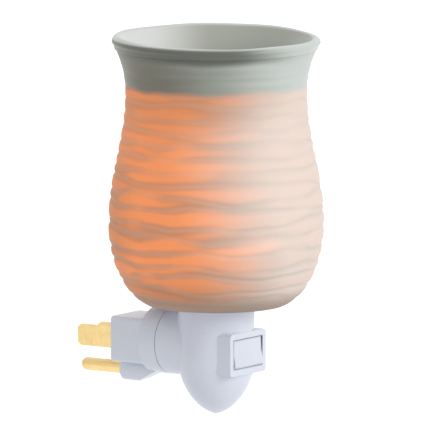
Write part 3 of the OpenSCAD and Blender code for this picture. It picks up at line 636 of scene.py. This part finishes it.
for v in dish.data.vertices:
    z = v.co.z / MM - DISH_Z
    if z > FLAT_TO:
        a = math.atan2(v.co.y - AXIS_Y, v.co.x)
        swell = LIFT + LEAN * math.cos(a - LEAN_WAY)
        for height, count, start in WAVES:
            swell += height * math.sin(count * a + start)
        v.co.z += swell * MM * min(1.0, (z - FLAT_TO) / FULL_OVER)
set_material(dish, dish_material)
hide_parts("dish")
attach(dish, "dish")
print("dish triangles", sum(len(p.vertices) - 2 for p in dish.data.polygons))

# %% [markdown]
# ## Moulded plastic
# The base is injection-moulded in a cool white plastic with a soft gloss: a very fine grain from the mould,
# and a touch more dullness where hands wear it. A painted shadow lies in the narrow gap round the rocker,
# most of all along the top, so the two halves of the base have a thin grey line there. It could be a groove
# in the mesh; here the shadow is painted.

# %% Moulded plastic
WINDOW_W, WINDOW_H, WINDOW_Z, FACE_Y = 9.15 * MM, 5.35 * MM, -2.0 * MM, -54.8 * MM
# Grey of the painted shadow in the gap round the rocker, and where it lies.
PAINTED_SHADOW_GREY = rgb(116, 120, 136)
SHADOW_NEAR = (0.1 * MM, 0.5 * MM)
SHADOW_FRONT = (FACE_Y + 0.4 * MM, FACE_Y + 1.4 * MM)
SHADOW_UPWARDS = (WINDOW_Z - 5 * MM, WINDOW_Z + 5 * MM)


def painted_shadow_line(x, y, z):
    """A painted shadow in the gap round the rocker, most of it along the top."""
    beside = x.math("ABSOLUTE") - WINDOW_W
    above = (z - WINDOW_Z).math("ABSOLUTE") - WINDOW_H
    near = 1 - beside.math("MAXIMUM", above).math("ABSOLUTE").step(*SHADOW_NEAR)
    front = 1 - y.step(*SHADOW_FRONT)
    return near * front * z.step(*SHADOW_UPWARDS, 0.4, 1.0)


def plastic(name, colour, deep, rough, grain_size=700.0, shadow_lined=False):
    made, tree, shader = material(name, Specular_IOR_Level=0.45)
    point, x, y, z = place(tree)
    cloud = stretched(tree, point, 35.0, 35.0).noise(1.0, 3.0, 0.6)
    grain = stretched(tree, point, grain_size * 2, grain_size * 2).noise(1.0, 2.0)
    tone = cloud.step(0.3, 0.7).mix(deep, colour)
    # On the halves of the base, a painted shadow darkens the plastic round the rocker.
    if shadow_lined:
        tone = painted_shadow_line(x, y, z).mix(tone, PAINTED_SHADOW_GREY)
    feed(tree, shader, Base_Color=tone, Roughness=(cloud - 0.5) * 0.16 + rough,
         Normal=bump(tree, grain, 0.02 * MM))
    return made


WHITE = plastic("cool_white_plastic", rgb(232, 237, 248), rgb(226, 231, 244), 0.3)
SHADOW_LINED_WHITE = plastic("cool_white_plastic_shadow_line", rgb(232, 237, 248), rgb(226, 231, 244), 0.3, shadow_lined=True)
PALE = plastic("pale_plastic", rgb(226, 226, 220), rgb(214, 214, 208), 0.5)
BLACK = plastic("black_plastic", rgb(44, 44, 47), rgb(34, 34, 36), 0.45)
BOARD = plastic("pressed_board", rgb(140, 98, 62), rgb(112, 76, 46), 0.65)
PORCELAIN = plastic("plain_porcelain", rgb(236, 232, 222), rgb(224, 219, 206), 0.42, 300.0)
BLACK_GLASS = plastic("black_glass", rgb(30, 30, 36), rgb(22, 22, 26), 0.12)
BLACK_WIRE = plastic("black_insulation", rgb(38, 38, 38), rgb(28, 28, 28), 0.5)
WHITE_WIRE = plastic("white_insulation", rgb(232, 232, 226), rgb(218, 218, 210), 0.5)
print("plain materials", [m.name for m in (WHITE, PALE, BLACK, BOARD, PORCELAIN)])

# %% [markdown]
# ## Metal
# The blades and contacts are brass, the screws and springs zinc-plated steel. Both have fine marks of rolling
# and handling, which change the gloss more than the colour.

# %% Metal
STAIN_PER_METRE, BRUSH_PER_METRE = (260.0, 260.0), (1800.0, 220.0)


def metal(name, colour, wear_and_highlight, rough):
    made, tree, shader = material(name, Metallic=1.0)
    point = place(tree)[0]
    stain = stretched(tree, point, *STAIN_PER_METRE).noise(1.0, 4.0, 0.65)
    brush = stretched(tree, point, *BRUSH_PER_METRE).noise(1.0, 2.0)
    tone = stain.step(0.35, 0.7).mix(colour, wear_and_highlight)
    feed(tree, shader, Base_Color=tone, Roughness=(brush - 0.5) * 0.3 + rough,
         Normal=bump(tree, brush, 0.01 * MM))
    return made


BRASS = metal("brass", (0.80, 0.60, 0.28, 1), (0.73, 0.54, 0.245, 1), 0.3)
STEEL = metal("zinc_steel", (0.62, 0.62, 0.64, 1), (0.5, 0.5, 0.5, 1), 0.36)
CAP = metal("cap_metal", (0.78, 0.77, 0.74, 1), (0.6, 0.59, 0.56, 1), 0.3)
print("metals", [m.name for m in (BRASS, STEEL, CAP)])

# %% [markdown]
# ## Lamp glass and filament
# The lamp's glass is thin and clear, with a haze of dust. Real refraction would need a thick wall and many
# light bounces, so Alpha lets the filament show through instead. The filament glows only near its top.

# %% Lamp glass and filament
HAZE_PER_METRE, HEAT_PER_METRE = (90.0, 90.0), (300.0, 300.0)
FILAMENT_TOP = (53 * MM, 60 * MM)


def clear_glass():
    made, tree, shader = material("clear_glass", IOR=1.5, Transmission_Weight=0.0)
    point = place(tree)[0]
    haze = stretched(tree, point, *HAZE_PER_METRE).noise(1.0, 3.0)
    tint = haze.step(0.3, 0.7).mix((0.9, 0.9, 0.86, 1), (0.97, 0.97, 0.95, 1))
    feed(tree, shader, Base_Color=tint, Roughness=haze * 0.06 + 0.03, Alpha=haze * 0.1 + 0.22)
    return made


def hot_wire():
    made, tree, shader = material("hot_wire", Metallic=1.0, Emission_Strength=6.0)
    point, x, y, z = place(tree)
    heat = stretched(tree, point, *HEAT_PER_METRE).noise(1.0, 2.0)
    top = z.step(*FILAMENT_TOP)
    feed(tree, shader, Base_Color=heat.mix((0.3, 0.28, 0.25, 1), (0.45, 0.42, 0.36, 1)),
         Emission_Color=(top * (heat * 0.4 + 0.8)).mix(DARK, (1.0, 0.52, 0.18, 1)),
         Roughness=heat * 0.2 + 0.3)
    return made


GLASS = clear_glass()
HOT = hot_wire()
print("lamp", GLASS.name, HOT.name)

# %% [markdown]
# ## A finish for each piece
# The record of the solids says which material slot each piece has, so one table gives every piece its finish.
# Only the halves of the base differ from their slot, by the painted shadow round the rocker.

# %% A finish for each piece
SHADOW_LINED_HALVES = ("housing_left", "housing_right")
BY_SLOT = {
    "white_plastic": WHITE, "pale_plastic": PALE, "dark_plastic": BLACK, "board": BOARD,
    "porcelain": PORCELAIN, "brass": BRASS, "steel": STEEL, "cap_metal": CAP, "black_glass": BLACK_GLASS,
    "clear_glass": GLASS, "filament": HOT, "black_wire": BLACK_WIRE, "white_wire": WHITE_WIRE,
    "shade_ceramic": shade_material, "dish_glaze": dish_material,
}
for part in frame["record"]["subparts"]:
    finish = SHADOW_LINED_WHITE if part["node"] in SHADOW_LINED_HALVES else BY_SLOT[part["material_slot"]]
    set_material(NODES[part["node"]], finish)
print("materials", len(bpy.data.materials))

# %% [markdown]
# ## Background
# The photograph has a white ground. A plain floor lies well below the warmer, as a table would. The floor and
# the sky turn white only for the camera and for what mirrors or glass show, so they throw no more light on
# the warmer than soft daylight does.

# %% Background
FLOOR_Z = -0.26
FLOOR_REACH = 6
FLOOR_SEEN = 0.7
SKY_SEEN, SKY_ON_WARMER = 1.0, 0.66


def seen_plainly(tree):
    """1 for a ray from the camera, a mirror or glass, and 0 for the light that reaches a surface."""
    outputs = tree.node("ShaderNodeLightPath").socket.node.outputs
    seen, glossy, through = (Term(tree.tree, outputs["Is %s Ray" % way])
                             for way in ("Camera", "Glossy", "Transmission"))
    return seen.math("MAXIMUM", glossy.math("MAXIMUM", through))


ground = bpy.data.meshes.new("floor")
corners = [(-FLOOR_REACH, -FLOOR_REACH), (FLOOR_REACH, -FLOOR_REACH), (FLOOR_REACH, FLOOR_REACH),
           (-FLOOR_REACH, FLOOR_REACH)]
ground.from_pydata([(x, y, FLOOR_Z) for x, y in corners], [], [(0, 1, 2, 3)])
floor_piece = bpy.data.objects.new("floor", ground)
bpy.context.scene.collection.objects.link(floor_piece)

pale, tree, shader = material("pale_floor", Roughness=0.9, Emission_Strength=1.0)
shader.inputs["Base Color"].default_value = (0.75, 0.75, 0.76, 1)
feed(tree, shader, Emission_Color=(seen_plainly(tree) * FLOOR_SEEN).mix(DARK, (1, 1, 1, 1)))
floor_piece.data.materials.append(pale)

world = bpy.data.worlds.new("studio")
bpy.context.scene.world = world
world.use_nodes = True
sky = Term(world.node_tree)
strength = seen_plainly(sky) * (SKY_SEEN - SKY_ON_WARMER) + SKY_ON_WARMER
background = world.node_tree.nodes["Background"]
sky.tree.links.new(strength.socket, background.inputs["Strength"])
background.inputs["Color"].default_value = (1, 1, 1, 1)
print("floor", FLOOR_Z, "m")

# %% [markdown]
# ## Light
# A broad light from the right makes the right of the shade pale, and a weak one from above softens the rest.

# %% Light
MIDDLE = Vector((0, AXIS_Y, 45 * MM))


def soft_box(name, way, distance, size, watts, colour):
    """A square lamp that looks at the warmer from a direction."""
    lamp = bpy.data.lights.new(name, "AREA")
    lamp.shape = "SQUARE"
    lamp.size = size
    lamp.energy = watts
    lamp.color = colour
    piece = bpy.data.objects.new(name, lamp)
    bpy.context.scene.collection.objects.link(piece)
    piece.location = MIDDLE + way.normalized() * distance
    piece.rotation_euler = way.to_track_quat("Z", "Y").to_euler()
    return piece


soft_box("key", right * 1.0 + back * 0.85 + up * 0.4, distance=1.3, size=0.6, watts=5.7,
         colour=(1.0, 0.99, 0.98))
soft_box("top", up * 1.0 + back * -0.1, distance=1.4, size=0.8, watts=2.2, colour=(1.0, 1.0, 1.0))

scene = bpy.context.scene
scene.view_settings.view_transform = "Standard"

# %% [markdown]
# ## Finish
